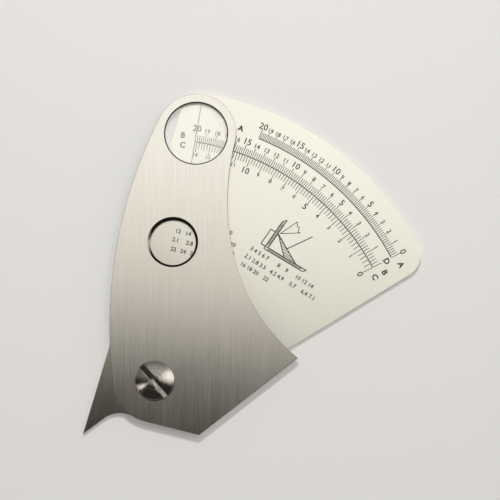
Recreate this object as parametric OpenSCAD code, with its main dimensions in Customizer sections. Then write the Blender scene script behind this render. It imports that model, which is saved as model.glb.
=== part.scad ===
// Fan-type fillet weld gauge: two flat steel leaves on one pivot screw.
// The gauge lies on its back. The pivot is the Z axis, the back of the fan is at z = 0, and the
// front plate faces up. The fan is drawn at the reading set below, with its spike lifted off the
// line of the foot by that height.

/* [Leaves] */
// Thickness of the front plate
front_t = 1.5; // [1:0.1:2.5]
// Thickness of the fan plate
fan_t = 1.5; // [1.2:0.1:2.5]
// Running gap between the two plates
leaf_gap = 0.1; // [0.05:0.05:0.3]
// Radius of both plates' round ends about the pivot
hub_r = 11.5; // [9:0.1:14]

/* [Front plate] */
// Distance from the pivot to the centre of the reading window
arm_length = 70.4; // [66:0.1:74]
// Direction of the reading window from the pivot, in degrees
arm_angle = 81.1; // [78:0.1:84]
// Diameter of the reading window
window_d = 17.5; // [14:0.5:20]
// Width of the metal rim round the reading window
window_rim = 2.5; // [1.5:0.1:4]
// Diameter of the viewing hole below the window, across its chamfer
view_hole_d = 14.2; // [8:0.1:18]
// Width and depth of the chamfer round the viewing hole
view_hole_chamfer = 0.7; // [0.2:0.05:0.9]
// Distance from the pivot to the centre of the viewing hole
view_hole_distance = 38.9; // [30:0.1:44]
// Direction of the viewing hole from the pivot, in degrees
view_hole_angle = 83.2; // [78:0.1:90]
// Radius of the long bulging edge on the left
back_edge_r = 130; // [100:1:200]
// Radius of the hollow edge beside the window
waist_r = 68.5; // [50:0.5:80]
// Direction of that hollow's centre from the window, in degrees
waist_angle = -13.8; // [-20:0.1:-12]
// Radius of the tighter hollow that runs out to the foot
shoulder_r = 51.5; // [40:0.5:64]
// Direction in which the two hollows meet, in degrees
shoulder_angle = 194; // [190:1:210]
// Distance from the pivot to the line of the measuring foot
foot_distance = 19.35; // [16:0.05:22]
// Direction of the measuring foot, in degrees
foot_angle = 38; // [30:0.5:46]
// Direction of the lower edge that leads from the hub to the toe, in degrees
toe_angle = -13.9; // [-20:0.1:-8]

/* [Fan plate] */
// Radius of the fan's outer edge
fan_r = 82.5; // [80:0.1:90]
// Direction of the fan's straight lower edge, in degrees
fan_low_angle = 31.4; // [20:0.1:34]
// Direction of the fan's straight left edge, in degrees
fan_left_angle = 74; // [72:0.1:76]
// Radius of the fan's lower right corner
fan_corner_r = 6.9; // [3:0.1:10]
// Radius of the fan's upper left corner
fan_top_corner_r = 5; // [2:0.1:8]
// Distance from the pivot to the tip of the spike
tip_r = 24.6; // [23:0.1:28]
// Radius of the hollow between the spike and the hub
spike_hollow_r = 7.6; // [4:0.1:9]

/* [Scales] */
// Height of the spike's tip over the line of the foot, as drawn
reading = 20; // [14:0.5:22]
// Last number on scales A and B
scale_last = 20; // [15:1:20]
// Radius of the line under scale A
scale_a_r = 74; // [73:0.1:75]
// Radius of the line between scales B and C
scale_bc_r = 68.1; // [67:0.1:69]
// Length of a short graduation
short_mark = 1.8; // [1:0.1:2]
// Length of a long graduation
long_mark = 2.7; // [2:0.1:3]
// Width of every engraved line
mark_w = 0.18; // [0.1:0.01:0.2]
// Depth of every engraved line
mark_depth = 0.05; // [0.02:0.01:0.1]
// Graduations to each whole number
marks_per_unit = 5; // [2, 5]

/* [Lens] */
// Thickness of the clear disc in the window
lens_t = 1.2; // [0.6:0.1:1.3]
// Height of the disc's underside over the front plate's underside
lens_lift = 0.1; // [0.05:0.05:0.2]
// Gap all round between the disc and its hole
lens_clearance = 0.04; // [0.02:0.01:0.1]
// Width of the hairline cut in the disc's underside
hairline_w = 0.16; // [0.1:0.01:0.3]
// Depth of the hairline
hairline_depth = 0.1; // [0.05:0.01:0.2]

/* [Pivot] */
// Diameter of the screw's head
head_d = 11; // [9:0.1:14]
// Height of the head's straight rim
head_rim_h = 0.7; // [0.4:0.1:1.5]
// Height of the head's dome over its rim
head_dome_h = 1; // [0.7:0.1:1.6]
// Width of the screwdriver slot
slot_w = 1.4; // [0.8:0.1:2]
// Depth of the slot below the top of the dome
slot_depth = 1.2; // [0.6:0.1:1.4]
// Direction of the slot, in degrees
slot_angle = -48; // [-90:1:90]
// Diameter of the screw's shank
shank_d = 4; // [3:0.1:4.4]
// Outside diameter of the sleeve nut, on which the fan turns
sleeve_d = 6; // [5.4:0.1:7]
// Diameter of the sleeve nut's flange
flange_d = 9.6; // [8:0.1:12]
// Thickness of the sleeve nut's flange
flange_t = 0.7; // [0.5:0.05:0.8]
// Thickness of metal left under the sleeve nut's thread
nut_floor = 0.6; // [0.4:0.1:1]
// Outside diameter of the spring washer
spring_d = 8.8; // [7.5:0.1:10]
// Thickness of the spring washer's sheet
spring_t = 0.3; // [0.2:0.05:0.4]
// Height of the dished spring washer
spring_h = 0.5; // [0.45:0.05:0.8]
// Running clearance of the fan on the sleeve nut, on the radius
turn_clearance = 0.05; // [0.02:0.01:0.1]
// Clearance of the parts that don't turn on each other, on the radius
fit_clearance = 0.05; // [0.02:0.01:0.1]

/* [Hidden] */
$fn = 96;
steel = [0.80, 0.78, 0.73];
fan_steel = [0.90, 0.89, 0.83];
dark_steel = [0.42, 0.40, 0.37];
clear = [0.85, 0.92, 0.95, 0.35];
pivot = [0, 0];
// How far a cut runs past the face that it opens
through = 1;
// How far an arc of the fan crosses the edges that it blends into
blend = 0.02;

// Heights of the stack, from the back of the fan upwards
front_z = fan_t + leaf_gap;
front_top = front_z + front_t;
head_z = front_top + spring_h;
sleeve_top = front_top - fit_clearance;
shank_end = nut_floor + fit_clearance;

// Point at distance r in direction a, and the direction of a point
function polar(r, a) = [r * cos(a), r * sin(a)];
function direction(p) = atan2(p[1], p[0]);
function length_of(p) = sqrt(p[0] * p[0] + p[1] * p[1]);
function dot(p, q) = p[0] * q[0] + p[1] * q[1];
// The centre, right of the line from the pivot to p, that lies ra from the pivot and rb from p
function centre_right_of(p, ra, rb) =
    let (d = length_of(p), along = (ra * ra - rb * rb + d * d) / (2 * d))
    polar(along, direction(p)) + polar(sqrt(ra * ra - along * along), direction(p) - 90);
// Where two lines cross, each given by the direction of its normal and its distance from the pivot
function crossing(a, da, b, db) = [da * sin(b) - db * sin(a), db * cos(a) - da * cos(b)] / sin(b - a);

// Front plate: centres of its arcs and corners of its straight edges
window_centre = polar(arm_length, arm_angle);
top_r = window_d / 2 + window_rim;
back_edge_centre = centre_right_of(window_centre, back_edge_r - hub_r, back_edge_r - top_r);
waist_centre = window_centre + polar(top_r + waist_r, waist_angle);
shoulder_centre = waist_centre + polar(waist_r - shoulder_r, shoulder_angle);
foot_normal = foot_angle - 90;
toe_normal = toe_angle - 90;
toe = crossing(toe_normal, hub_r, foot_normal, foot_distance);
shoulder_height = foot_distance - dot(shoulder_centre, polar(1, foot_normal));
shoulder_run = dot(shoulder_centre, polar(1, foot_angle))
    - sqrt(shoulder_r * shoulder_r - shoulder_height * shoulder_height);
shoulder = polar(foot_distance, foot_normal) + polar(shoulder_run, foot_angle);

// Spike: at the drawn reading its tip stands that height off the line of the foot
tip_angle = foot_normal - acos((foot_distance - reading) / tip_r);
tip = polar(tip_r, tip_angle);
hollow_angle = tip_angle + asin(spike_hollow_r / (hub_r + spike_hollow_r));
hollow_centre = polar(hub_r + spike_hollow_r, hollow_angle);
hollow_start = polar((hub_r + spike_hollow_r) * cos(hollow_angle - tip_angle), tip_angle);

// Fan: its corner arcs touch a straight edge and the outer edge
fan_low_normal = fan_low_angle - 90;
fan_left_normal = fan_left_angle + 90;
fan_left_distance = dot(tip, polar(1, fan_left_normal));
function corner_centre(normal, distance, r, along) =
    polar(distance - r, normal) + polar(sqrt(pow(fan_r - r, 2) - pow(distance - r, 2)), along);
low_corner = corner_centre(fan_low_normal, hub_r, fan_corner_r, fan_low_angle);
top_corner = corner_centre(fan_left_normal, fan_left_distance, fan_top_corner_r, fan_left_angle);

// Scale law: how far the fan swings, from zero, to lift the tip by h. Scale B reads that lift, the
// leg of an even fillet. Scale A reads it times the square root of two, and scale C divided by it.
root_two = sqrt(2);
scale_c_last = floor(scale_last / root_two);
swing_start = asin(foot_distance / tip_r);
function swing(h) = swing_start - asin((foot_distance - h) / tip_r);
zero_angle = arm_angle - swing(reading);
function mark_angle(h) = zero_angle + swing(h);

// The slice of a circle between two directions
module slice(centre, r, from_angle, to_angle) {
    reach = 1.2 * r;
    middle = (from_angle + to_angle) / 2;
    translate(centre) intersection() {
        circle(r = r);
        polygon([pivot, polar(reach, from_angle), polar(reach, middle), polar(reach, to_angle)]);
    }
}

// What is cut away to round a corner that lies between two directions from the arc's centre
module corner_waste(centre, r, from_angle, to_angle) {
    side_a = polar(3 * r, from_angle);
    side_b = polar(3 * r, to_angle);
    translate(centre) difference() {
        polygon([pivot, side_a, side_a + side_b, side_b]);
        circle(r = r + blend);
    }
}

// Front plate seen from above, without its holes
module front_outline() {
    left_side = 2 * hub_r;
    // Degrees by which the lower hollow's slice runs past both its ends
    lap = 8;
    left_top = window_centre + polar(left_side, direction(window_centre - back_edge_centre));
    left_low = polar(left_side, direction(-back_edge_centre));
    waist_start = window_centre + polar(top_r, waist_angle);
    difference() {
        intersection() {
            translate(back_edge_centre) circle(r = back_edge_r, $fn = 360);
            polygon([pivot, polar(hub_r, toe_normal), toe, shoulder, waist_start, window_centre,
                left_top, left_low]);
        }
        slice(waist_centre, waist_r, 180 + waist_angle, shoulder_angle);
        slice(shoulder_centre, shoulder_r, shoulder_angle - lap,
            direction(shoulder - shoulder_centre) + 360 + lap);
    }
    circle(r = hub_r);
    translate(window_centre) circle(r = top_r);
}

// Fan plate seen from above, without its hole
module fan_outline() {
    reach = 2 * fan_r;
    low_start = polar(hub_r, fan_low_normal);
    difference() {
        union() {
            intersection() {
                circle(r = fan_r, $fn = 360);
                polygon([pivot, hollow_centre, hollow_start, tip, tip + polar(reach, fan_left_angle),
                    low_start + polar(reach, fan_low_angle), low_start]);
            }
            circle(r = hub_r);
        }
        translate(hollow_centre) circle(r = spike_hollow_r + blend);
        corner_waste(low_corner, fan_corner_r, fan_low_normal, direction(low_corner));
        corner_waste(top_corner, fan_top_corner_r, direction(top_corner), fan_left_normal);
    }
}

// One engraved graduation for a lift of h: it starts at radius r and runs outwards
module graduation(r, mark_length, h) {
    rotate([0, 0, mark_angle(h)])
        translate([r, -mark_w / 2, fan_t - mark_depth])
            cube([mark_length, mark_w, mark_depth + through]);
}

// One scale on the line at radius r: its numbers run from 0 to last, each stands for a lift of
// per_unit, and its graduations stand outside the line or, with side -1, inside it
module graduations(r, last, per_unit, side) {
    for (i = [0 : last * marks_per_unit]) {
        mark_length = i % marks_per_unit == 0 ? long_mark : short_mark;
        start = side > 0 ? r + mark_w : r - mark_w - mark_length;
        graduation(start, mark_length, per_unit * i / marks_per_unit);
    }
}

// The engraved line that a scale's graduations stand on
module scale_line(r, to_lift) {
    translate([0, 0, fan_t - mark_depth])
        rotate([0, 0, zero_angle])
            rotate_extrude(angle = swing(to_lift), $fn = 360)
                translate([r - mark_w / 2, 0]) square([mark_w, mark_depth + through]);
}

// The viewing hole, as it is cut from a plate on z = 0: a bore with a chamfer round its top
module viewing_hole() {
    cone_depth = view_hole_chamfer + through;
    translate([0, 0, -through])
        cylinder(d = view_hole_d - 2 * view_hole_chamfer, h = front_t + 2 * through);
    translate([0, 0, front_t - cone_depth])
        cylinder(d1 = view_hole_d - 2 * cone_depth, d2 = view_hole_d + 2 * through,
            h = cone_depth + through);
}

module front_plate() {
    color(steel) translate([0, 0, front_z]) difference() {
        linear_extrude(front_t) front_outline();
        translate([0, 0, -through])
            cylinder(d = sleeve_d + 2 * fit_clearance, h = front_t + 2 * through);
        translate([window_centre[0], window_centre[1], -through])
            cylinder(d = window_d, h = front_t + 2 * through);
        rotate([0, 0, view_hole_angle]) translate([view_hole_distance, 0, 0]) viewing_hole();
    }
}

module fan_plate() {
    color(fan_steel) difference() {
        linear_extrude(fan_t) fan_outline();
        translate([0, 0, -through])
            cylinder(d = sleeve_d + 2 * turn_clearance, h = fan_t + 2 * through);
        translate([0, 0, -through])
            cylinder(d = flange_d + 2 * turn_clearance, h = flange_t + turn_clearance + through);
        graduations(scale_a_r, scale_last, 1 / root_two, 1);
        graduations(scale_bc_r, scale_last, 1, 1);
        graduations(scale_bc_r, scale_c_last, root_two, -1);
        scale_line(scale_a_r, scale_last / root_two);
        scale_line(scale_bc_r, scale_last);
    }
}

module window_lens() {
    color(clear) translate([window_centre[0], window_centre[1], front_z + lens_lift]) difference() {
        cylinder(d = window_d - 2 * lens_clearance, h = lens_t);
        rotate([0, 0, arm_angle]) translate([-window_d / 2, -hairline_w / 2, -through])
            cube([window_d, hairline_w, hairline_depth + through]);
    }
}

module pivot_screw() {
    dome_r = (pow(head_d / 2, 2) + pow(head_dome_h, 2)) / (2 * head_dome_h);
    head_top = head_z + head_rim_h + head_dome_h;
    color(dark_steel) difference() {
        union() {
            translate([0, 0, shank_end]) cylinder(d = shank_d, h = head_z + head_rim_h - shank_end);
            intersection() {
                translate([0, 0, head_z]) cylinder(d = head_d, h = head_rim_h + head_dome_h + through);
                translate([0, 0, head_top - dome_r]) sphere(r = dome_r);
            }
        }
        rotate([0, 0, slot_angle]) translate([-head_d / 2 - through, -slot_w / 2, head_top - slot_depth])
            cube([head_d + 2 * through, slot_w, slot_depth + through]);
    }
}

module spring_washer() {
    hole_r = shank_d / 2 + fit_clearance;
    rim_r = spring_d / 2;
    color(dark_steel) translate([0, 0, front_top]) rotate_extrude()
        polygon([[hole_r, spring_h - spring_t], [rim_r, 0], [rim_r, spring_t], [hole_r, spring_h]]);
}

module sleeve_nut() {
    color(dark_steel) difference() {
        union() {
            cylinder(d = flange_d, h = flange_t);
            cylinder(d = sleeve_d, h = sleeve_top);
        }
        translate([0, 0, nut_floor]) cylinder(d = shank_d + 2 * fit_clearance, h = sleeve_top);
    }
}

front_plate();
fan_plate();
window_lens();
pivot_screw();
spring_washer();
sleeve_nut();
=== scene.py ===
# %% [markdown]
# # A fan-type weld gauge
# The gauge is two flat steel leaves on one pivot screw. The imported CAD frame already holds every
# solid in its place, in metres, so this lesson dresses it: broken edges, inked engraving, print,
# steel finishes, a clear disc and the light of a small studio.

# %% Load the frame
import math

import bmesh
import bpy
from mathutils import Matrix, Vector


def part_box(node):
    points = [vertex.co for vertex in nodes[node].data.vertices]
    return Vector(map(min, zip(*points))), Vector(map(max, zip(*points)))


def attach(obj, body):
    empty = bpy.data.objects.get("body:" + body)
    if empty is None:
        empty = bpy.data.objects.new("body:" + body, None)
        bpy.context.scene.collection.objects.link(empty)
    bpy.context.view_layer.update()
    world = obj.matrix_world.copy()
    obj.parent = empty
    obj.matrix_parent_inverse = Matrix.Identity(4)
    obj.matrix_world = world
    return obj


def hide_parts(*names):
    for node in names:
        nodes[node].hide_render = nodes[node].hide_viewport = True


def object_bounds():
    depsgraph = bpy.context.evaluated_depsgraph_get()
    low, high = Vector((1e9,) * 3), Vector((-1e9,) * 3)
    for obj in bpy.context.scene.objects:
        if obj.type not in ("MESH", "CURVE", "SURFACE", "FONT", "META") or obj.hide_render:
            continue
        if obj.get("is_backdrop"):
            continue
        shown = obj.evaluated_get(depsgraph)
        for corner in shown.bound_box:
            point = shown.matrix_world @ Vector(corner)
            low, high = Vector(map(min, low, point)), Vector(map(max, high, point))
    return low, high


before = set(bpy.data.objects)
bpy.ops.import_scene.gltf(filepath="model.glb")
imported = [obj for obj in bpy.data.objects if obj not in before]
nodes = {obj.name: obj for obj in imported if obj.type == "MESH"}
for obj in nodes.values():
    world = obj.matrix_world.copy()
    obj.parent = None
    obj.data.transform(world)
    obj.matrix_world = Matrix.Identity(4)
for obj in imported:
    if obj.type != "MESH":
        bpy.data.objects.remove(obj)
cad_low, cad_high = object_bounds()
scene = bpy.context.scene
MM = 0.001
print("nodes:", sorted(nodes), "box in mm:", [round((b - a) / MM, 2) for a, b in zip(cad_low, cad_high)])

# %% [markdown]
# ## Camera
# The picture looks almost straight down on the gauge, a little from the pivot's end. The tilt and
# the distance were worked out from the round holes and the arcs, which show as slight ellipses. A
# long lens keeps the two leaves nearly free of perspective.

# %% Camera
FAN_FACE = 1.5 * MM
LOOKS_AT = Vector((26.13 * MM, 36.58 * MM, FAN_FACE))
TILT_X, TILT_Y = math.radians(7.86), math.radians(1.59)
CAMERA_DISTANCE = 474.75 * MM
# Focal length and width of the sensor, in mm, and the nearest distance that is seen, in metres
LENS, SENSOR, NEAREST = 122.4, 36.0, 0.01

camera_data = bpy.data.cameras.new("camera")
camera_data.lens = LENS
camera_data.sensor_width = SENSOR
camera_data.clip_start = NEAREST
camera = bpy.data.objects.new("camera", camera_data)
scene.collection.objects.link(camera)
tilt = Matrix.Rotation(TILT_X, 4, "X") @ Matrix.Rotation(TILT_Y, 4, "Y")
camera.matrix_world = Matrix.Translation(LOOKS_AT) @ tilt @ Matrix.Translation((0, 0, CAMERA_DISTANCE))
scene.camera = camera
scene.view_settings.view_transform = "Standard"
print("camera at", [round(c / MM, 1) for c in camera.matrix_world.translation], "mm")

# %% [markdown]
# ## Node helpers
# A material is a small tree of nodes. These helpers keep the lessons short: one adds a node and sets
# its plain values, one joins two sockets, and the others make the few groups of nodes that come back
# in every material: noise, a value spread over a range, and a colour between two tones.

# %% Node helpers
NOISE_LOW, NOISE_HIGH = 0.25, 0.75


def add_node(tree, kind, values=None, **settings):
    """A new node with some input values and some settings."""
    made = tree.nodes.new(kind)
    for key, value in settings.items():
        setattr(made, key, value)
    for key, value in (values or {}).items():
        made.inputs[key].default_value = value
    return made


def join(tree, source, output, target, entry):
    """Joins an output socket to an input socket."""
    tree.links.new(source.outputs[output], target.inputs[entry])


def new_tree(name, inputs, outputs):
    """An empty shader node group with named sockets, and its two end nodes."""
    tree = bpy.data.node_groups.new(name, "ShaderNodeTree")
    for label, kind in inputs:
        tree.interface.new_socket(label, in_out="INPUT", socket_type=kind)
    for label, kind in outputs:
        tree.interface.new_socket(label, in_out="OUTPUT", socket_type=kind)
    return tree, tree.nodes.new("NodeGroupInput"), tree.nodes.new("NodeGroupOutput")


def new_material(name):
    """A new material, its tree, its shader and a node that gives the piece's own coordinates."""
    made = bpy.data.materials.new(name)
    made.use_nodes = True
    tree = made.node_tree
    return made, tree, tree.nodes["Principled BSDF"], add_node(tree, "ShaderNodeTexCoord")


def noise_at(tree, place, scale, detail):
    """Noise over the piece's own coordinates."""
    made = add_node(tree, "ShaderNodeTexNoise", {"Scale": scale, "Detail": detail})
    join(tree, place, "Object", made, "Vector")
    return made


def span(tree, source, output, low, high):
    """Spreads a value that varies about 0.5 over a range from low to high."""
    made = add_node(tree, "ShaderNodeMapRange",
                    {"From Min": NOISE_LOW, "From Max": NOISE_HIGH, "To Min": low, "To Max": high})
    join(tree, source, output, made, "Value")
    return made


def two_tones(tree, tones, source, output):
    """A colour between a dark and a light tone, chosen by a value from 0 to 1."""
    dark, light = tones
    made = add_node(tree, "ShaderNodeMix", {"A": (*dark, 1), "B": (*light, 1)}, data_type="RGBA")
    join(tree, source, output, made, "Factor")
    return made


# %% [markdown]
# ## The studio
# Flat steel shows little but what it mirrors. Here it mirrors a white tent that is open round the
# camera, so the far end of the gauge is bright and the pivot's end falls off into the dark opening.
# A ramp over the sky's direction makes that tent. It hangs less full at its left end.

# %% Tent
SKY_DIRECTION = (0.08, 0.997, 0.0)
WHITE_CLOTH, WARM_CLOTH, DARK_ROOM = (1.0, 0.99, 0.94), (1.0, 0.965, 0.885), (1.0, 0.8, 0.66)
# Cosine of the angle from the sky's direction, level and tint
SKY_STEPS = [(-1.0, 0.12, DARK_ROOM), (-0.6, 0.05, DARK_ROOM), (-0.3, 0.012, DARK_ROOM),
             (0.038, 0.015, DARK_ROOM), (0.125, 0.9, WARM_CLOTH), (0.2, 1.21, WHITE_CLOTH),
             (0.4, 1.0, WHITE_CLOTH), (0.65, 0.25, WHITE_CLOTH), (1.0, 0.15, WHITE_CLOTH)]
# Where to the left the tent begins to thin out and has done so, and the share of its light left there
LEFT_BEGIN, LEFT_END, LEFT_SHARE = -0.15, -0.5, 0.25
world = bpy.data.worlds.new("studio_tent")
scene.world = world
world.use_nodes = True
sky = world.node_tree
sky.nodes.clear()
direction = add_node(sky, "ShaderNodeTexCoord")
towards = add_node(sky, "ShaderNodeVectorMath", {1: SKY_DIRECTION}, operation="DOT_PRODUCT")
spread = add_node(sky, "ShaderNodeMapRange", {"From Min": -1.0, "From Max": 1.0})
ramp = add_node(sky, "ShaderNodeValToRGB")
ramp.color_ramp.interpolation = "EASE"
stops = ramp.color_ramp.elements
# New stops all start in the middle, then each gets its place
while len(stops) < len(SKY_STEPS):
    stops.new(0.5)
for stop, (place, level, tint) in zip(stops, SKY_STEPS):
    stop.position = (place + 1) / 2
    stop.color = (*(level * part for part in tint), 1)
leftwards = add_node(sky, "ShaderNodeSeparateXYZ")
hung = add_node(sky, "ShaderNodeMapRange",
                {"From Min": LEFT_END, "From Max": LEFT_BEGIN, "To Min": LEFT_SHARE},
                interpolation_type="SMOOTHSTEP")
cloth = add_node(sky, "ShaderNodeVectorMath", operation="SCALE")
join(sky, direction, "Generated", towards, 0)
join(sky, towards, "Value", spread, "Value")
join(sky, spread, "Result", ramp, "Fac")
join(sky, direction, "Generated", leftwards, "Vector")
join(sky, leftwards, "X", hung, "Value")
join(sky, ramp, "Color", cloth, 0)
join(sky, hung, "Result", cloth, "Scale")
print("sky steps:", len(SKY_STEPS))

# %% [markdown]
# Two bright panels, a large one on the right and a small one on the left, light the turned screw, and
# a pale wall stands low all round, so the steel isn't black when it is seen from low down. Each is a
# round field of the sky with a soft edge. Camera rays see plain white instead.

# %% Panels
# Direction of a panel, the cosines at which it begins and is full, and its level; the last is the wall
PANELS = [((0.512, 0.186, 0.839), 0.955, 0.975, 2.0), ((-0.52, -0.16, 0.839), 0.9975, 0.999, 12.0),
          ((0.0, 0.0, -1.0), -0.52, -0.3, 0.45)]
PANEL_TINT = (1.0, 0.92, 0.85)
WHITE = (1, 1, 1, 1)
lit = cloth
for way, begins, full, level in PANELS:
    side = add_node(sky, "ShaderNodeVectorMath", {1: way}, operation="DOT_PRODUCT")
    panel = add_node(sky, "ShaderNodeMapRange", {"From Min": begins, "From Max": full, "To Max": level},
                     interpolation_type="SMOOTHSTEP")
    tinted = add_node(sky, "ShaderNodeVectorMath", {0: PANEL_TINT}, operation="SCALE")
    added = add_node(sky, "ShaderNodeVectorMath", operation="ADD")
    join(sky, direction, "Generated", side, 0)
    join(sky, side, "Value", panel, "Value")
    join(sky, panel, "Result", tinted, "Scale")
    join(sky, lit, "Vector", added, 0)
    join(sky, tinted, "Vector", added, 1)
    lit = added
tent = add_node(sky, "ShaderNodeBackground", {"Strength": 1.0})
plain = add_node(sky, "ShaderNodeBackground", {"Color": WHITE, "Strength": 1.0})
ray = add_node(sky, "ShaderNodeLightPath")
seen = add_node(sky, "ShaderNodeMixShader")
out = add_node(sky, "ShaderNodeOutputWorld")
join(sky, lit, "Vector", tent, "Color")
join(sky, ray, "Is Camera Ray", seen, 0)
join(sky, tent, 0, seen, 1)
join(sky, plain, 0, seen, 2)
join(sky, seen, "Shader", out, "Surface")
print("panels and wall:", len(PANELS))

# %% [markdown]
# One lamp on the far side throws the short shadows that show how thick the front plate is: the dark
# crescents in its two round holes. Steel doesn't mirror it, as if it shone through a polariser.

# %% Key lamp
LAMP_FROM_ZENITH, LAMP_TURN = math.radians(30), math.radians(88)
# Distance and width in metres, power in watts
LAMP_DISTANCE, LAMP_SIZE, LAMP_POWER = 0.45, 0.05, 1.07
LAMP_TINT = (1.0, 0.985, 0.95)
lamp_data = bpy.data.lights.new("key_lamp", "AREA")
lamp_data.shape = "DISK"
lamp_data.size = LAMP_SIZE
lamp_data.energy = LAMP_POWER
lamp_data.color = LAMP_TINT
lamp = bpy.data.objects.new("key_lamp", lamp_data)
lamp.visible_glossy = False
scene.collection.objects.link(lamp)
away = Vector((math.sin(LAMP_FROM_ZENITH) * math.cos(LAMP_TURN),
               math.sin(LAMP_FROM_ZENITH) * math.sin(LAMP_TURN), math.cos(LAMP_FROM_ZENITH)))
lamp.location = LOOKS_AT + away * LAMP_DISTANCE
lamp.rotation_euler = away.to_track_quat("Z", "Y").to_euler()
print("key lamp at", [round(c, 3) for c in lamp.location])

# %% [markdown]
# The gauge lies on a pale bench. A little plain white is mixed into what the camera and the steel see
# of it. From below, the bench lets the view through, so the back of the gauge can be looked at too.

# %% Floor
FLOOR_HALF = 2.0
FLOOR_DROP = 0.02 * MM
BENCH_TONE = (0.72, 0.72, 0.715, 1)
WHITE_SHARE = 0.2
shape = bmesh.new()
bmesh.ops.create_grid(shape, x_segments=1, y_segments=1, size=FLOOR_HALF)
bmesh.ops.translate(shape, verts=shape.verts, vec=(0, 0, -FLOOR_DROP))
floor_mesh = bpy.data.meshes.new("floor")
shape.to_mesh(floor_mesh)
shape.free()
floor = bpy.data.objects.new("floor", floor_mesh)
scene.collection.objects.link(floor)
bench = bpy.data.materials.new("pale_bench")
bench.use_nodes = True
tree = bench.node_tree
tree.nodes.clear()
pale = add_node(tree, "ShaderNodeBsdfDiffuse", {"Color": BENCH_TONE})
white = add_node(tree, "ShaderNodeEmission", {"Color": WHITE, "Strength": 1.0})
clear = add_node(tree, "ShaderNodeBsdfTransparent")
ray = add_node(tree, "ShaderNodeLightPath")
camera_or_gloss = add_node(tree, "ShaderNodeMath", operation="MAXIMUM")
seen = add_node(tree, "ShaderNodeMath", operation="MAXIMUM")
share = add_node(tree, "ShaderNodeMath", {1: WHITE_SHARE}, operation="MULTIPLY")
lifted = add_node(tree, "ShaderNodeMixShader")
side = add_node(tree, "ShaderNodeNewGeometry")
either = add_node(tree, "ShaderNodeMixShader")
out = add_node(tree, "ShaderNodeOutputMaterial")
join(tree, ray, "Is Camera Ray", camera_or_gloss, 0)
join(tree, ray, "Is Glossy Ray", camera_or_gloss, 1)
join(tree, camera_or_gloss, "Value", seen, 0)
join(tree, ray, "Is Transmission Ray", seen, 1)
join(tree, seen, "Value", share, 0)
join(tree, share, "Value", lifted, 0)
join(tree, pale, 0, lifted, 1)
join(tree, white, 0, lifted, 2)
join(tree, side, "Backfacing", either, 0)
join(tree, lifted, 0, either, 1)
join(tree, clear, 0, either, 2)
join(tree, either, "Shader", out, "Surface")
floor_mesh.materials.append(bench)
floor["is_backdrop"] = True
print("floor", 2 * FLOOR_HALF, "m wide")

# %% [markdown]
# ## Grain of worked steel
# Brushing leaves fine scratches that all run one way. Noise that is squeezed across the scratches
# and stretched along them gives such streaks, and a second, broader noise gives the bands that the
# belt leaves. Both leaves use the same group, each with its own direction and scale.

# %% Brushed grain group
BAND_SHARE = 0.25
grain, grain_in, grain_out = new_tree(
    "brushed_grain",
    [("Stretched", "NodeSocketVector"), ("Place", "NodeSocketVector")],
    [("Streak", "NodeSocketFloat"), ("Cloud", "NodeSocketFloat")])
fine = add_node(grain, "ShaderNodeTexNoise", {"Scale": 1.0, "Detail": 3.0, "Roughness": 0.6})
broad = add_node(grain, "ShaderNodeTexNoise", {"Scale": 0.22, "Detail": 2.0, "Roughness": 0.5})
both = add_node(grain, "ShaderNodeMix", {"Factor": BAND_SHARE}, data_type="FLOAT")
cloud = add_node(grain, "ShaderNodeTexNoise", {"Scale": 55.0, "Detail": 3.0, "Roughness": 0.55})
join(grain, grain_in, "Stretched", fine, "Vector")
join(grain, grain_in, "Stretched", broad, "Vector")
join(grain, grain_in, "Place", cloud, "Vector")
join(grain, fine, "Fac", both, "A")
join(grain, broad, "Fac", both, "B")
join(grain, both, "Result", grain_out, "Streak")
join(grain, cloud, "Fac", grain_out, "Cloud")
print("group:", grain.name)

# %% [markdown]
# Turning leaves rings instead. The distance from the pivot's axis, fed to a noise as its only
# coordinate, gives rings that are round however large the part is.

# %% Turned rings group
rings, rings_in, rings_out = new_tree(
    "turned_rings", [("Place", "NodeSocketVector"), ("Rings", "NodeSocketFloat")],
    [("Ring", "NodeSocketFloat")])
flat = add_node(rings, "ShaderNodeVectorMath", {1: (1, 1, 0)}, operation="MULTIPLY")
reach = add_node(rings, "ShaderNodeVectorMath", operation="LENGTH")
count = add_node(rings, "ShaderNodeMath", operation="MULTIPLY")
turned = add_node(rings, "ShaderNodeTexNoise", {"Scale": 1.0, "Detail": 2.0, "Roughness": 0.6},
                  noise_dimensions="1D")
join(rings, rings_in, "Place", flat, 0)
join(rings, flat, "Vector", reach, 0)
join(rings, reach, "Value", count, 0)
join(rings, rings_in, "Rings", count, 1)
join(rings, count, "Value", turned, "W")
join(rings, turned, "Fac", rings_out, "Ring")
print("group:", rings.name)

# %% [markdown]
# ## Steel of the two leaves
# Colour, roughness and bump of a worked face all follow its streaks. A face can have a painted end,
# where another finish takes over along an axis: the fan turns fully metallic and darker towards the
# spike, the darkening being painted shade, and one side of the viewing hole is lightened as a
# painted highlight.

# %% Leaf steel
CLOUD_SHARE = 0.5


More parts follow.
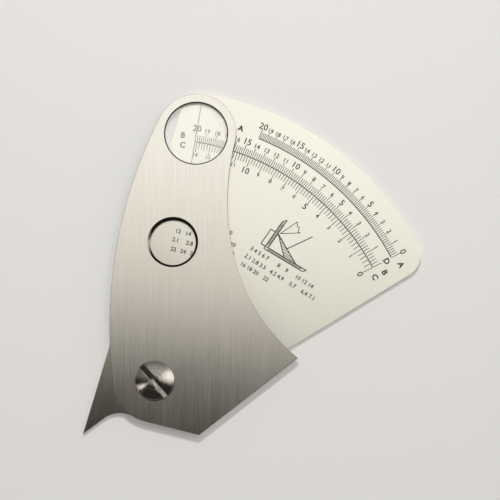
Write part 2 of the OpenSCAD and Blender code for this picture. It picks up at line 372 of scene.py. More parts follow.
def leaf_steel(name, stretch, worked_face, painted_end=None):
    """Brushed steel: streaks of two tones, with roughness and relief to match. The finish of a painted
    end, if there is one, takes over along its axis: painted shade on the fan, a painted highlight in the
    viewing hole."""
    made, tree, steel, place = new_material(name)
    mapped = add_node(tree, "ShaderNodeMapping", {"Scale": stretch})
    worked = add_node(tree, "ShaderNodeGroup", node_tree=grain)
    mixed = add_node(tree, "ShaderNodeMix", {"Factor": CLOUD_SHARE}, data_type="FLOAT")
    bump = add_node(tree, "ShaderNodeBump", {"Strength": 1.0, "Distance": worked_face["relief"]})
    join(tree, place, "Object", mapped, "Vector")
    join(tree, mapped, "Vector", worked, "Stretched")
    join(tree, place, "Object", worked, "Place")
    join(tree, worked, "Streak", mixed, "A")
    join(tree, worked, "Cloud", mixed, "B")
    colours, dulls = [], []
    for finish in filter(None, (worked_face, painted_end)):
        shade = span(tree, worked, "Streak", 0.0, 1.0)
        colours.append(two_tones(tree, finish["tones"], shade, "Result"))
        dulls.append(span(tree, mixed, "Result", *finish["rough"]))
    if painted_end:
        along = add_node(tree, "ShaderNodeVectorMath", {1: painted_end["axis"]}, operation="DOT_PRODUCT")
        painted_blend = add_node(tree, "ShaderNodeMapRange",
                        {"From Min": painted_end["none_at"], "From Max": painted_end["full_at"]},
                        interpolation_type="SMOOTHSTEP")
        metal = add_node(tree, "ShaderNodeMapRange",
                         {"To Min": worked_face["metal"], "To Max": painted_end["metal"]})
        colour = add_node(tree, "ShaderNodeMix", data_type="RGBA")
        dull = add_node(tree, "ShaderNodeMix", data_type="FLOAT")
        join(tree, place, "Object", along, 0)
        join(tree, along, "Value", painted_blend, "Value")
        join(tree, painted_blend, "Result", metal, "Value")
        join(tree, metal, "Result", steel, "Metallic")
        for mix, (face, end) in ((colour, colours), (dull, dulls)):
            join(tree, painted_blend, "Result", mix, "Factor")
            join(tree, face, "Result", mix, "A")
            join(tree, end, "Result", mix, "B")
    else:
        steel.inputs["Metallic"].default_value = worked_face["metal"]
        colour, dull = colours[0], dulls[0]
    join(tree, colour, "Result", steel, "Base Color")
    join(tree, dull, "Result", steel, "Roughness")
    join(tree, worked, "Streak", bump, "Height")
    join(tree, bump, "Normal", steel, "Normal")
    return made


# %% [markdown]
# The front plate is brushed lengthwise, so it mirrors the tent sharply along the streaks and widely
# across them. The fan has a finer, paler satin finish, against which the black scales stand out. The
# sheared outline is dull, its tone darkened as painted shade along the edge. The walls of the holes
# and the sides of the screw's slot are painted near black, painted shade for the shadow in them.

# %% Finishes of the leaves
# A finish is two tones, two roughnesses, the height of its relief in metres, and its metal. A painted end
# is full at one distance along its axis, in metres, and gone at another
BRUSHED = {"tones": ((0.735, 0.705, 0.655), (0.825, 0.80, 0.75)), "rough": (0.1, 0.155),
           "relief": 1.6e-5, "metal": 1.0}
SATIN = {"tones": ((0.86, 0.85, 0.775), (0.91, 0.905, 0.835)), "rough": (0.13, 0.19),
         "relief": 0.5e-5, "metal": 0.52}
# Painted shade: near black for the walls of the holes and the sides of the screw's slot
SHADE_BLACK = {"tones": ((0.018, 0.016, 0.015), (0.04, 0.037, 0.034)), "rough": (0.35, 0.5),
       "relief": 0.4e-5, "metal": 1.0}
# Sheared edges: rough, with their tone darkened as painted shade along the outline
SHEARED_SHADED = {"tones": ((0.15, 0.144, 0.132), (0.28, 0.268, 0.248)), "rough": (0.38, 0.52),
           "relief": 0.4e-5, "metal": 1.0}
# Painted shade: the fan's tone darkens towards the spike, where it also turns fully metallic
SPIKE_SHADE = {"tones": ((0.58, 0.55, 0.50), (0.68, 0.65, 0.60)), "rough": (0.1, 0.155), "metal": 1.0,
        "axis": (0.804, 0.594, 0), "full_at": 6 * MM, "none_at": 45 * MM}
# Painted highlight: the viewing hole's chamfer lightened on its left side
HOLE_HIGHLIGHT = {"tones": ((0.26, 0.25, 0.235), (0.34, 0.325, 0.305)), "rough": (0.12, 0.2), "metal": 1.0,
          "axis": (1, 0, 0), "full_at": -1.9 * MM, "none_at": -1.2 * MM}
# Streaks to the metre along X, Y and Z
LENGTHWISE, FINE, ALONG_WALL = (2800, 60, 300), (6000, 900, 900), (900, 900, 4000)
front_steel = leaf_steel("front_steel_brushed", LENGTHWISE, BRUSHED)
fan_steel = leaf_steel("fan_steel_satin", FINE, SATIN, SPIKE_SHADE)
shade_black_steel = leaf_steel("painted_shade_steel", ALONG_WALL, SHADE_BLACK)
hole_shade_highlight = leaf_steel("hole_steel_shade_highlight", ALONG_WALL, SHADE_BLACK, HOLE_HIGHLIGHT)
edge_steel_shaded = leaf_steel("edge_steel_sheared_shaded", ALONG_WALL, SHEARED_SHADED)
print("leaf steels:", [s.name for s in (front_steel, fan_steel, shade_black_steel, hole_shade_highlight, edge_steel_shaded)])

# %% [markdown]
# ## Turned steel and ink
# Screwdrivers have bruised one lip of the screw's slot. A ragged band along that lip and on into the
# slot slopes towards the slot's middle. Its colour is bare steel made brighter than steel, partly wear
# and partly a painted highlight. A mask that rises across the band gives both its colour and, as bump,
# its slope.

# %% Bruised lip of the slot
SLOT_TURN, SLOT_HALF = math.radians(-48), 0.7 * MM
ALONG = Vector((math.cos(SLOT_TURN), math.sin(SLOT_TURN), 0))
ACROSS = Vector((-math.sin(SLOT_TURN), math.cos(SLOT_TURN), 0))
# Width of the band outside the slot, how far its ragged edge strays, and its drop
LIP_BAND, LIP_RAGGED, LIP_DROP = 0.45 * MM, 2.2 * MM, 0.22 * MM
# Where along the slot the band begins and is full, and the scale and detail of its ragged edge
LIP_BEGINS, LIP_FULL, LIP_NOISE = -1.6 * MM, 2.6 * MM, (2400.0, 3.0)


def bruised_lip(tree, place):
    """A value that rises from 0 to 1 over the ragged band that runs along one lip of the slot."""
    across = add_node(tree, "ShaderNodeVectorMath", {1: tuple(ACROSS)}, operation="DOT_PRODUCT")
    along = add_node(tree, "ShaderNodeVectorMath", {1: tuple(ALONG)}, operation="DOT_PRODUCT")
    rough_edge = noise_at(tree, place, *LIP_NOISE)
    shifted = add_node(tree, "ShaderNodeMath", {1: LIP_RAGGED}, operation="MULTIPLY_ADD")
    middle = LIP_RAGGED / 2
    band = add_node(tree, "ShaderNodeMapRange",
                    {"From Min": middle - SLOT_HALF - LIP_BAND, "From Max": middle})
    worn_end = add_node(tree, "ShaderNodeMapRange", {"From Min": LIP_BEGINS, "From Max": LIP_FULL})
    this_side = add_node(tree, "ShaderNodeMath", {1: 0.0}, operation="LESS_THAN")
    worn = add_node(tree, "ShaderNodeMath", operation="MULTIPLY")
    made = add_node(tree, "ShaderNodeMath", operation="MULTIPLY")
    for measured in (across, along):
        join(tree, place, "Object", measured, 0)
    join(tree, rough_edge, "Fac", shifted, 0)
    join(tree, across, "Value", shifted, 2)
    join(tree, shifted, "Value", band, "Value")
    join(tree, along, "Value", worn_end, "Value")
    join(tree, across, "Value", this_side, 0)
    join(tree, band, "Result", worn, 0)
    join(tree, worn_end, "Result", worn, 1)
    join(tree, worn, "Value", made, 0)
    join(tree, this_side, "Value", made, 1)
    return made


# %% [markdown]
# The pivot screw and its sleeve nut come off a lathe, so rings drive their colour, roughness and
# relief, and the fine grooves spread each light along the radius. The screw also has small dents, which
# break its bruised lip up into bright specks. The floor of its slot is the same steel, darkened as
# painted shade.

# %% Turned steel
# How much the grooves spread a light, and their turn: a quarter sets the spread along the radius
GROOVE_SPREAD, GROOVE_TURN = 0.75, 0.25
# Height of the dents, their scale and detail, and how much of the lip's bright colour shows between its
# specks
DENT, DENT_NOISE, SPECK_LOW = 0.5e-5, (3200.0, 3.0), 0.45
# The lip's colour, bare steel with a painted highlight, and the part of its rise over which it comes in
LIP_BARE_HIGHLIGHT, BRIGHT_FROM, BRIGHT_TO = (0.95, 0.92, 0.87), 0.05, 0.3


def turned_steel_of(name, ring_count, tones, rough, relief, bruised=False):
    """Turned steel: rings about the pivot's axis, and a bruised lip if there is a slot."""
    made, tree, steel, place = new_material(name)
    steel.inputs["Metallic"].default_value = 1.0
    steel.inputs["Anisotropic"].default_value = GROOVE_SPREAD
    steel.inputs["Anisotropic Rotation"].default_value = GROOVE_TURN
    lathe = add_node(tree, "ShaderNodeGroup", node_tree=rings)
    lathe.inputs["Rings"].default_value = ring_count
    bump = add_node(tree, "ShaderNodeBump", {"Strength": 1.0, "Distance": 1.0})
    height = add_node(tree, "ShaderNodeMath", {1: relief}, operation="MULTIPLY")
    join(tree, place, "Object", lathe, "Place")
    tone = two_tones(tree, tones, span(tree, lathe, "Ring", 0.0, 1.0), "Result")
    dull = span(tree, lathe, "Ring", *rough)
    join(tree, dull, "Result", steel, "Roughness")
    join(tree, lathe, "Ring", height, 0)
    if bruised:
        lip = bruised_lip(tree, place)
        dents = noise_at(tree, place, *DENT_NOISE)
        dented = add_node(tree, "ShaderNodeMath", {1: DENT}, operation="MULTIPLY_ADD")
        painted_blend = add_node(tree, "ShaderNodeMapRange", {"From Min": BRIGHT_FROM, "From Max": BRIGHT_TO})
        specks = span(tree, dents, "Fac", SPECK_LOW, 1.0)
        shown = add_node(tree, "ShaderNodeMath", operation="MULTIPLY")
        # Partly a painted highlight: the lip's bright colour comes in over the band
        grooved, tone = tone, add_node(tree, "ShaderNodeMix", {"B": (*LIP_BARE_HIGHLIGHT, 1)}, data_type="RGBA")
        turned, height = height, add_node(tree, "ShaderNodeMath", {1: -LIP_DROP}, operation="MULTIPLY_ADD")
        join(tree, dents, "Fac", dented, 0)
        join(tree, turned, "Value", dented, 2)
        join(tree, lip, "Value", painted_blend, "Value")
        join(tree, painted_blend, "Result", shown, 0)
        join(tree, specks, "Result", shown, 1)
        join(tree, shown, "Value", tone, "Factor")
        join(tree, grooved, "Result", tone, "A")
        join(tree, lip, "Value", height, 0)
        join(tree, dented, "Value", height, 2)
    join(tree, tone, "Result", steel, "Base Color")
    join(tree, height, "Value", bump, "Height")
    join(tree, bump, "Normal", steel, "Normal")
    return made


# Rings to the metre of radius, height of the relief in metres, tones and roughnesses
RINGS, SPRING_RINGS = 2600, 2500
SCREW_RELIEF, NUT_RELIEF, PLAIN_RELIEF = 3.2e-5, 2.5e-5, 1e-5
SCREW_TONES, SCREW_ROUGH = ((0.22, 0.21, 0.195), (0.5, 0.48, 0.45)), (0.17, 0.27)
# Painted shade: the slot floor's tones are darker than the head's
SHADED_FLOOR_TONES, FLOOR_ROUGH = ((0.05, 0.047, 0.042), (0.13, 0.122, 0.111)), (0.1, 0.16)
SPRING_TONES, SPRING_ROUGH = ((0.30, 0.285, 0.27), (0.38, 0.36, 0.34)), (0.3, 0.42)
screw_steel = turned_steel_of("screw_steel_turned", RINGS, SCREW_TONES, SCREW_ROUGH, SCREW_RELIEF,
                              bruised=True)
slot_floor_shade = turned_steel_of("slot_floor_steel_shaded", RINGS, SHADED_FLOOR_TONES, FLOOR_ROUGH, PLAIN_RELIEF,
                              bruised=True)
nut_steel = turned_steel_of("nut_steel_turned", RINGS, SCREW_TONES, SCREW_ROUGH, NUT_RELIEF)
spring_steel = turned_steel_of("spring_steel_plain", SPRING_RINGS, SPRING_TONES, SPRING_ROUGH, PLAIN_RELIEF)
print("turned steels:", [s.name for s in (screw_steel, slot_floor_shade, nut_steel, spring_steel)])

# %% [markdown]
# Ink is nearly black, a little uneven and dull. It fills the graduations and makes the print.

# %% Ink
INK_TONES, INK_ROUGH = ((0.008, 0.008, 0.009), (0.028, 0.027, 0.026)), (0.45, 0.7)
INK_NOISE, INK_SHINE = (2500.0, 2.0), 0.3
ink, tree, body, place = new_material("black_ink")
body.inputs["Specular IOR Level"].default_value = INK_SHINE
speckle = noise_at(tree, place, *INK_NOISE)
tone = two_tones(tree, INK_TONES, speckle, "Fac")
dull = span(tree, speckle, "Fac", *INK_ROUGH)
join(tree, tone, "Result", body, "Base Color")
join(tree, dull, "Result", body, "Roughness")
print("ink:", ink.name)

# %% [markdown]
# ## Clear disc
# The disc in the reading window is clear plastic. Handling leaves it slightly hazed, so a fine noise
# drives its roughness. Light that falls on the fan goes almost straight through it, which keeps the
# print under the disc as bright as the rest.

# %% Clear plastic
DISC_TONE, DISC_CLEAR, DISC_IOR = (0.97, 0.975, 0.97, 1), 0.88, 1.49
HAZE_NOISE, HAZE_ROUGH, SHADOW_SHARE = (420.0, 4.0), (0.0, 0.016), 0.06
clear_plastic, tree, body, place = new_material("clear_plastic_disc")
body.inputs["Base Color"].default_value = DISC_TONE
body.inputs["Transmission Weight"].default_value = DISC_CLEAR
body.inputs["IOR"].default_value = DISC_IOR
haze = noise_at(tree, place, *HAZE_NOISE)
dull = span(tree, haze, "Fac", *HAZE_ROUGH)
ray = add_node(tree, "ShaderNodeLightPath")
lighting = add_node(tree, "ShaderNodeMath", operation="MAXIMUM")
lets_through = add_node(tree, "ShaderNodeMapRange", {"To Min": 1.0, "To Max": SHADOW_SHARE})
join(tree, dull, "Result", body, "Roughness")
join(tree, ray, "Is Shadow Ray", lighting, 0)
join(tree, ray, "Is Diffuse Ray", lighting, 1)
join(tree, lighting, "Value", lets_through, "Value")
join(tree, lets_through, "Result", body, "Alpha")
nodes["window_lens"].data.materials[0] = clear_plastic
nodes["spring_washer"].data.materials[0] = spring_steel
nodes["sleeve_nut"].data.materials[0] = nut_steel
print("clear disc:", clear_plastic.name)

# %% [markdown]
# ## Leaves and screw with broken edges
# Stamped leaves are deburred, so no edge is a knife edge, and each one catches a line of light. A
# CAD node's mesh is loose triangles, so a copy is merged first, then the edges between a flat face
# and a wall are bevelled. The copy stands for the node. Its flat faces stay flat shaded and its
# walls are smooth.

# %% Piece helpers
MERGE = 0.001 * MM
FLAT, SHARP = 0.999, math.radians(35)


def put(name, mesh, body):
    """A finished mesh as a piece that rides on a body."""
    made = bpy.data.objects.new(name, mesh)
    scene.collection.objects.link(made)
    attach(made, body)
    return made


def merged_copy(node):
    """The node's triangles as one bmesh with shared corners."""
    made = bmesh.new()
    made.from_mesh(nodes[node].data)
    bmesh.ops.remove_doubles(made, verts=made.verts, dist=MERGE)
    made.normal_update()
    return made


def is_flat(face):
    """True for a face that lies level."""
    return abs(face.normal.z) > FLAT


def rim_edges(shape):
    """The edges between a level face and a wall."""
    return [e for e in shape.edges if len(e.link_faces) == 2 and sum(is_flat(f) for f in e.link_faces) == 1]


def break_edges(shape, edges, width, clamp=False):
    """Rounds edges off by that width."""
    bmesh.ops.bevel(shape, geom=edges, offset=width, offset_type="OFFSET", affect="EDGES", segments=2,
                    profile=0.5, material=-1, clamp_overlap=clamp)
    shape.normal_update()


def sort_by_place(parts, place):
    """Sorts corners or faces by place, since bevel and spin leave them in another order each run."""
    for index, part in enumerate(sorted(parts, key=lambda part: tuple(place(part)))):
        part.index = index
    parts.sort()


def as_mesh(name, shape, *materials):
    """The bmesh as a mesh with these materials, its corners and faces in a fixed order."""
    sort_by_place(shape.verts, lambda vert: vert.co)
    sort_by_place(shape.faces, lambda face: face.calc_center_median())
    made = bpy.data.meshes.new(name)
    shape.to_mesh(made)
    shape.free()
    for material in materials:
        made.materials.append(material)
    return made


def shaded(name, shape, *materials):
    """The bmesh as a mesh: level faces flat, the rest smooth up to a sharp corner."""
    for face in shape.faces:
        face.smooth = not is_flat(face)
    for edge in shape.edges:
        corner = len(edge.link_faces) == 2 and edge.calc_face_angle(0) > SHARP
        edge.smooth = not (corner or any(is_flat(f) for f in edge.link_faces))
    made = as_mesh(name, shape, *materials)
    # The normals that came with the CAD node don't fit the bevelled copy
    if "custom_normal" in made.attributes:
        made.attributes.remove(made.attributes["custom_normal"])
    return made


# %% [markdown]
# The window's edge is broken wider than the rest, to lead the disc in. The viewing hole already has its
# chamfer. The walls take three finishes: near black in the window and in the viewing hole, painted
# shade that makes their dark rings, with a painted highlight on the hole's left side, and sheared steel
# darkened as painted shade along the outline.

# %% Front plate
# Widths of broken edges, each hole's middle with a reach just past its wall, and a height that only
# the front face lies above
EDGE, WINDOW_EDGE = 0.08 * MM, 0.3 * MM
WINDOW, WINDOW_REACH = Vector((10.892 * MM, 69.552 * MM)), 9.2 * MM
VIEW_HOLE, VIEW_HOLE_REACH = Vector((4.606 * MM, 38.626 * MM)), 7.3 * MM
FRONT_FACE_ABOVE = FAN_FACE + 1.5 * MM
# Places of these finishes in the plate's list of materials
WINDOW_WALL_SHADE, SHEARED_SHADED_WALL, HOLE_WALL_PAINTED = 1, 2, 3


def near_window(place):
    """True for a point of the window's wall."""
    return (place.xy - WINDOW).length < WINDOW_REACH


def near_view_hole(place):
    """True for a point of the viewing hole's wall."""
    return (place.xy - VIEW_HOLE).length < VIEW_HOLE_REACH


def round_window(edge):
    """True for an edge of the front face that runs round the window."""
    place = edge.verts[0].co
    return near_window(place) and place.z > FRONT_FACE_ABOVE


def wall_finish(place):
    """Which of the three finishes a wall has there."""
    if near_window(place):
        return WINDOW_WALL_SHADE
    return HOLE_WALL_PAINTED if near_view_hole(place) else SHEARED_SHADED_WALL


shape = merged_copy("front_plate")
seat = [e for e in rim_edges(shape) if round_window(e)]
break_edges(shape, seat, WINDOW_EDGE)
rims = [e for e in rim_edges(shape) if not round_window(e) and not near_view_hole(e.verts[0].co)]
break_edges(shape, rims, EDGE)
# Walls take painted shade round the window and in the viewing hole, with a painted highlight on the hole's
# left side, and darkened sheared steel, also painted shade, along the outline
walls = [f for f in shape.faces if not is_flat(f)]
for face in walls:
    face.material_index = wall_finish(face.calc_center_median())
plate_mesh = shaded("front_leaf_plate", shape, front_steel, shade_black_steel, edge_steel_shaded, hole_shade_highlight)
front_leaf_plate = put("front_leaf_plate", plate_mesh, "front_leaf")
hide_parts("front_plate")
print("front plate:", len(seat), "window edges,", len(rims), "rim edges,", len(walls), "wall faces")

# %% [markdown]
# The fan's scales are engraved. The graves are the only faces that lie wholly within a twentieth of
# a millimetre under the face, so they are found by height and take the ink, as the real ones are
# filled. Only the outline and the bore are deburred.

# %% Fan plate
# No grave reaches below the first height, and the fan's face lies above the second
GRAVE_FLOOR, FACE_FLOOR = FAN_FACE - 0.06 * MM, FAN_FACE - 0.01 * MM
# Place of the ink in the fan's list of materials
INKED = 1
shape = merged_copy("fan_plate")
graves = set()
for face in shape.faces:
    low = min(v.co.z for v in face.verts)
    if low > GRAVE_FLOOR and not (is_flat(face) and low > FACE_FLOOR):
        face.material_index = INKED
        graves.add(face)
rims = [e for e in rim_edges(shape) if not any(f in graves for f in e.link_faces)]
break_edges(shape, rims, EDGE)
fan_mesh = shaded("fan_leaf_plate", shape, fan_steel, ink)
fan_leaf_plate = put("fan_leaf_plate", fan_mesh, "fan_leaf")
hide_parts("fan_plate")
print("fan plate:", len(graves), "inked faces,", len(rims), "rim edges")

# %% [markdown]
# The screw's head is turned and its slot is milled afterwards. The slot's two lips are broken before
# the other edges, a little wider. The slot's sides are painted near black and its floor darkened, both
# as painted shade.

# %% Pivot screw
# Widths of broken edges, heights that the lips and the slot lie above, and half the slot with some slack
SCREW_EDGE, LIP = 0.08 * MM, 0.12 * MM
HEAD_RIM, SLOT_ABOVE, SLOT_REACH = 4.3 * MM, 4 * MM, 1.05 * SLOT_HALF
# Places of these finishes in the screw's list of materials
SLOT_SIDE, SLOT_FLOOR = 1, 2


def off_axis(face):
    """How far a face lies from the slot's middle."""
    return abs(face.calc_center_median().dot(ACROSS))


def is_slot_wall(face):
    """True for a face of the slot's two upright sides."""
    return abs(face.normal.dot(ACROSS)) > FLAT and off_axis(face) < SLOT_REACH


shape = merged_copy("pivot_screw")
lips = [e for e in shape.edges if len(e.link_faces) == 2 and min(v.co.z for v in e.verts) > HEAD_RIM
        and sum(is_slot_wall(f) for f in e.link_faces) == 1 and not any(is_flat(f) for f in e.link_faces)]
break_edges(shape, lips, LIP, clamp=True)
sharp = [e for e in shape.edges if len(e.link_faces) == 2 and e.calc_face_angle(0) > SHARP
         and not any(is_slot_wall(f) for f in e.link_faces)]
break_edges(shape, sharp, SCREW_EDGE, clamp=True)
milled = [f for f in shape.faces if off_axis(f) < SLOT_REACH and f.calc_center_median().z > SLOT_ABOVE
          and (is_slot_wall(f) or is_flat(f))]
# Painted shade: near-black sides and a darkened floor for the slot
for face in milled:
    face.material_index = SLOT_FLOOR if is_flat(face) else SLOT_SIDE
screw_mesh = shaded("slotted_screw", shape, screw_steel, shade_black_steel, slot_floor_shade)
slotted_screw = put("slotted_screw", screw_mesh, "front_leaf")
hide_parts("pivot_screw")
print("screw:", len(lips), "lip edges,", len(sharp), "sharp edges,", len(milled), "slot faces")

# %% [markdown]
# ## Print on the fan
# Every whole number stands over its long graduation, read with the fan's rim as up. The scales aren't
# even: the fan's swing for a lift h of the spike follows from the spike's radius and the foot's
# distance from the pivot, and the same law places each number here. Scale B reads the lift, scale A
# reads it times the square root of two, and scale C divides it by that.

# %% Scale law
# Lengths in mm; the reading shown is at the angle of the arm, in degrees
TIP_R, FOOT_DISTANCE, READING, ARM_ANGLE = 24.6, 19.35, 20, 81.1


def swing(lift):
    """Degrees that the fan swings, from zero, to lift the tip by that many millimetres."""
    return math.degrees(math.asin(FOOT_DISTANCE / TIP_R) - math.asin((FOOT_DISTANCE - lift) / TIP_R))


ZERO_ANGLE = ARM_ANGLE - swing(READING)
print("zero at", round(ZERO_ANGLE, 3), "degrees; last at", round(ZERO_ANGLE + swing(READING), 3))

# %% [markdown]
# Each number is a text object, made a mesh, given its place and gathered into one piece of print. The
# print stands a hundredth of a millimetre proud of the steel and is sunk about as deep into it.

# %% Print helpers
FILM_LOW, FILM_HIGH = FAN_FACE - 0.01 * MM, FAN_FACE + 0.012 * MM
FILM, FILM_MIDDLE = FILM_HIGH - FILM_LOW, (FILM_LOW + FILM_HIGH) / 2
FILM_MERGE = 0.0005 * MM
# Height of capitals as a share of the font's size, how much bolder numbers are drawn, in mm, and the
# steps in each curve of a letter
CAP_HEIGHT, NUMBER_WEIGHT, CURVE_STEPS = 0.7, 0.03, 2


def stamp(shape, words, height, turn, x, y, weight=NUMBER_WEIGHT, anchor="CENTER"):
    """Adds words to a bmesh, with capitals of that height in mm, turned, and set at x, y in mm."""
    curve = bpy.data.curves.new("words", "FONT")
    curve.body = words
    curve.size = height * MM / CAP_HEIGHT
    curve.align_x = anchor
    curve.align_y = "CENTER"
    curve.resolution_u = CURVE_STEPS
    curve.offset = weight * MM
    curve.extrude = FILM / 2
    holder = bpy.data.objects.new("words", curve)
    scene.collection.objects.link(holder)
    bpy.context.view_layer.update()
    depsgraph = bpy.context.evaluated_depsgraph_get()
    flat_words = bpy.data.meshes.new_from_object(holder.evaluated_get(depsgraph))
    flat_words.transform(Matrix.Translation((x * MM, y * MM, FILM_MIDDLE))
                         @ Matrix.Rotation(math.radians(turn), 4, "Z"))
    shape.from_mesh(flat_words)
    bpy.data.objects.remove(holder)
    bpy.data.curves.remove(curve)
    bpy.data.meshes.remove(flat_words)


def stamp_round(shape, words, height, radius, angle, weight=NUMBER_WEIGHT):
    """Adds words on a circle about the pivot, with outwards as up."""
    place = math.radians(angle)
    stamp(shape, words, height, angle - 90, radius * math.cos(place), radius * math.sin(place), weight)


def printed(name, shape):
    """Turns a bmesh of print into a piece on the fan."""
    bmesh.ops.remove_doubles(shape, verts=shape.verts, dist=FILM_MERGE)
    bmesh.ops.recalc_face_normals(shape, faces=shape.faces)
    made = as_mesh(name, shape, ink)
    put(name, made, "fan_leaf")
    print(name, len(made.polygons), "faces")


# %% [markdown]
# Every fifth number is larger, so the eye finds it first. Each scale becomes one piece.

# %% Numbers of the three scales
ROOT_TWO = math.sqrt(2)
# Name, last number, lift of one unit, radius and height of small and of large numbers, first number
SCALES = [("a", 20, 1 / ROOT_TWO, (77.25, 1.2), (77.6, 1.8), 0),
          ("b", 20, 1.0, (71.65, 1.25), (71.9, 1.75), 1),
          ("c", 14, ROOT_TWO, (64.4, 1.15), (64.05, 1.75), 0)]
for name, last, per_unit, small, large, first in SCALES:
    shape = bmesh.new()
    for number in range(first, last + 1):
        radius, height = large if number % 5 == 0 else small
        stamp_round(shape, str(number), height, radius, ZERO_ANGLE + swing(number * per_unit))
    printed("scale_" + name + "_numbers", shape)

# %% [markdown]
# The line under scale A and the line between B and C are drawn heavier than the graduations, so the
# eye can follow them. Each is a thin film that a small square leaves when it is spun about the pivot.

# %% Scale lines
LINE_WIDTH, LINE_STEPS = 0.27, 90
# Radius in mm, and the lift at which the line ends
LINES = [(74.0, 20 / ROOT_TWO), (68.1, 20)]
shape = bmesh.new()
for radius, lift in LINES:
    profile = bmesh.ops.create_grid(shape, x_segments=1, y_segments=1, size=0.5)["verts"]
    bmesh.ops.scale(shape, verts=profile, vec=(LINE_WIDTH * MM, FILM, 1))
    bmesh.ops.rotate(shape, verts=profile, matrix=Matrix.Rotation(math.radians(90), 3, "X"))
    bmesh.ops.translate(shape, verts=profile, vec=(radius * MM, 0, FILM_MIDDLE))
    bmesh.ops.rotate(shape, verts=profile, matrix=Matrix.Rotation(math.radians(ZERO_ANGLE), 3, "Z"))
    square = list({face for vert in profile for face in vert.link_faces})
    bmesh.ops.spin(shape, geom=square, axis=(0, 0, 1), angle=math.radians(swing(lift)), steps=LINE_STEPS)
printed("scale_lines", shape)

# %% [markdown]
# Bold letters name the scales at both ends of the arcs.

# %% Scale letters
LETTER_HEIGHT, LETTER_WEIGHT = 1.6, 0.07
# Letter, radius in mm and angle in degrees
LETTERS = [("A", 75.4, 25.45), ("D", 72.3, 27.5), ("B", 70.4, 25.45), ("C", 67.4, 25.45),
           ("A", 74.9, 71.8), ("B", 69.55, 84.15), ("C", 66.7, 83.95)]
shape = bmesh.new()
for letter, radius, angle in LETTERS:
    stamp_round(shape, letter, LETTER_HEIGHT, radius, angle, LETTER_WEIGHT)
printed("scale_letters", shape)

# %% [markdown]
# ## Tables and weld sketch
# Small print fills the middle of the fan. Here it is rows of plain numbers in short groups: leg
# lengths of a fillet, and the throat heights that belong to some of them. A row is its left end, its
# turn, and each group's distance from that end.

# %% Number tables
ROW_HEIGHT = 1.15
# Left end in mm, turn in degrees, groups with their distance along the row in mm
TABLE_ROWS = [
    (26.3, 37.2, -32.5, [("3 4 5 6 7", 0.0), ("8", 8.9), ("9", 11.5), ("10 12 14", 14.8)]),
    (24.7, 35.1, -32.5, [("2.1 2.8 3.5", 0.0), ("4.2 4.9", 8.3), ("5.7", 14.7), ("6.4 7.1", 18.6)]),
    (23.5, 32.9, -32.5, [("16 18 20", 0.0), ("22", 7.5)]),
    (6.1, 45.1, -14, [("5 6", 3.2), ("7 8 9", 6.5), ("10", 13.9)]),
    (5.2, 42.05, -14, [("12", 0.0), ("14", 2.9), ("16 18", 6.5), ("20", 15.8)]),
    (4.35, 39.65, -14, [("2.1", 0.0), ("2.8", 4.0), ("3.5 4.2", 8.0), ("4.9", 15.9)]),
    (3.9, 37.0, -14, [("22", 0.0), ("24", 2.8), ("26", 5.6), ("28", 12.0)])]
shape = bmesh.new()
for x, y, turn, groups in TABLE_ROWS:
    run = Vector((math.cos(math.radians(turn)), math.sin(math.radians(turn))))
    for words, along in groups:
        stamp(shape, words, ROW_HEIGHT, turn, x + run.x * along, y + run.y * along, anchor="LEFT")
printed("number_tables", shape)

# %% [markdown]
# Above the rows stands a sketch of a fillet weld, in strokes only. A stroke is a flat bar of ink. The
# sketch has its own two directions, up the upright and out along the base, and starts at their corner.

# %% Sketch helpers
SKETCH_LINE = 0.26
CORNER, UP_TURN, OUT_TURN = Vector((31.2, 37.2)), math.radians(55.5), math.radians(-31)
UP, OUT = Vector((math.cos(UP_TURN), math.sin(UP_TURN))), Vector((math.cos(OUT_TURN), math.sin(OUT_TURN)))


def at(out_run, up_run):
    """A point of the sketch, so far along the base and so far up the upright."""
    return tuple(CORNER + OUT * out_run + UP * up_run)


def stroke(shape, start, end, width=SKETCH_LINE):
    """A straight stroke of ink between two points in mm."""
    (x0, y0), (x1, y1) = start, end
    length = math.hypot(x1 - x0, y1 - y0)
    bar = bmesh.ops.create_cube(shape, size=1.0)["verts"]
    bmesh.ops.scale(shape, verts=bar, vec=(length * MM, width * MM, FILM))
    bmesh.ops.rotate(shape, verts=bar, matrix=Matrix.Rotation(math.atan2(y1 - y0, x1 - x0), 3, "Z"))
    bmesh.ops.translate(shape, verts=bar, vec=((x0 + x1) / 2 * MM, (y0 + y1) / 2 * MM, FILM_MIDDLE))


def polyline(shape, points, width=SKETCH_LINE):
    """Strokes from each point to the next."""
    for start, end in zip(points, points[1:]):
        stroke(shape, start, end, width)


# %% [markdown]
# It shows an upright and a base plate, hatched, the weld between them with its over-thick side hatched,
# a bracket for the leg, a pointer to the middle of the weld's face and the end of a gauge's blade.

# %% Weld sketch
# Lengths in mm: legs of the weld, then the two plates with the slant of their ends
LEG_UP, LEG_OUT, INNER_OUT = 4.9, 9.0, 5.2
UPRIGHT, UPRIGHT_T, UPRIGHT_SLANT = 9.4, 0.9, 1.0
BASE, BASE_T, BASE_SLANT = 12.4, 0.8, 0.8
BRACKET, POINTER, BLADE_LINE = 2.35, (4.0, 6.6), 0.2
# The blade's outline, from the top of the weld
BLADE = [(0.5, 0.3), (2.6, 5.6), (3.3, 4.4), (3.9, 4.6), (4.4, 3.2), (5.0, 3.3), (0.5, 0.3)]
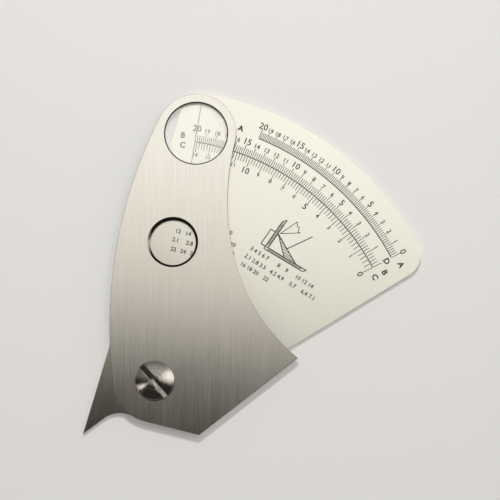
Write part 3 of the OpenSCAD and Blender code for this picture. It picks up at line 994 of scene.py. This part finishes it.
# Spacing, width and lean of the hatching, its margin at the plates' ends, and its places in the weld
HATCH, HATCH_LINE, HATCH_MARGIN = 0.42, 0.2, 1.0
UPRIGHT_LEAN, BASE_LEAN, WELD_LEAN = 0.5, 0.4, 0.04
WELD_HATCH = (0.2, 0.34, 0.48, 0.62, 0.76, 0.88)
shape = bmesh.new()
polyline(shape, [at(-UPRIGHT_T, 0), at(-UPRIGHT_T, UPRIGHT - UPRIGHT_SLANT), at(0, UPRIGHT), at(0, 0),
                 at(BASE, 0), at(BASE - BASE_SLANT, -BASE_T), at(-UPRIGHT_T, -BASE_T), at(-UPRIGHT_T, 0),
                 at(0, 0)])
polyline(shape, [at(0, LEG_UP), at(LEG_OUT, 0)])
polyline(shape, [at(0, LEG_UP), at(INNER_OUT, 0)])
polyline(shape, [at(-UPRIGHT_T, LEG_UP), at(-BRACKET, LEG_UP), at(-BRACKET, 0), at(-UPRIGHT_T, 0)])
polyline(shape, [at(LEG_OUT / 2, LEG_UP / 2), at(LEG_OUT / 2 + POINTER[0], LEG_UP / 2 + POINTER[1])])
polyline(shape, [at(out_run, LEG_UP + up_run) for out_run, up_run in BLADE], BLADE_LINE)
for step in range(1, int((UPRIGHT - HATCH_MARGIN) / HATCH)):
    stroke(shape, at(-UPRIGHT_T, step * HATCH), at(0, step * HATCH + UPRIGHT_LEAN), HATCH_LINE)
for step in range(1, int((BASE - HATCH_MARGIN) / HATCH)):
    stroke(shape, at(step * HATCH - BASE_LEAN, -BASE_T), at(step * HATCH, 0), HATCH_LINE)
for share in WELD_HATCH:
    up_run = LEG_UP * (1 - share)
    stroke(shape, at(INNER_OUT * share, up_run),
           at(LEG_OUT * (share + WELD_LEAN), up_run - LEG_UP * WELD_LEAN), HATCH_LINE)
printed("weld_sketch", shape)

# %% [markdown]
# ## Hairline
# The hairline is a groove across the disc's underside, filled with ink. The filling is a bar a
# little smaller than the groove, so the two never share a face.

# %% Hairline
HAIR_WIDTH, HAIR_DEPTH, HAIR_SHORTER = 0.15 * MM, 0.085 * MM, 0.1 * MM
HAIR_EDGE, HAIR_LIFT = 0.01 * MM, 0.005 * MM
disc_low, disc_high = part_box("window_lens")
middle = (disc_low + disc_high) / 2
shape = bmesh.new()
bar = bmesh.ops.create_cube(shape, size=1.0)["verts"]
bmesh.ops.scale(shape, verts=bar, vec=(disc_high.x - disc_low.x - HAIR_SHORTER, HAIR_WIDTH, HAIR_DEPTH))
bmesh.ops.bevel(shape, geom=shape.edges[:], offset=HAIR_EDGE, offset_type="OFFSET", affect="EDGES",
                segments=1, profile=0.5, material=-1)
bmesh.ops.rotate(shape, verts=shape.verts, matrix=Matrix.Rotation(math.radians(ARM_ANGLE), 3, "Z"))
bmesh.ops.translate(shape, verts=shape.verts,
                    vec=(middle.x, middle.y, disc_low.z + HAIR_DEPTH / 2 + HAIR_LIFT))
put("hairline", as_mesh("hairline", shape, ink), "front_leaf")
print("hairline over", [round(c / MM, 2) for c in middle])

# %% [markdown]
# ## Size
# The dressed gauge may not outgrow its solids, so its box is compared with theirs and the growth printed.

# %% Sizes
low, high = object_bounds()
grown = [((b - a) - (d - c)) / MM for a, b, c, d in zip(low, high, cad_low, cad_high)]
print("grown by mm:", [round(g, 3) for g in grown])
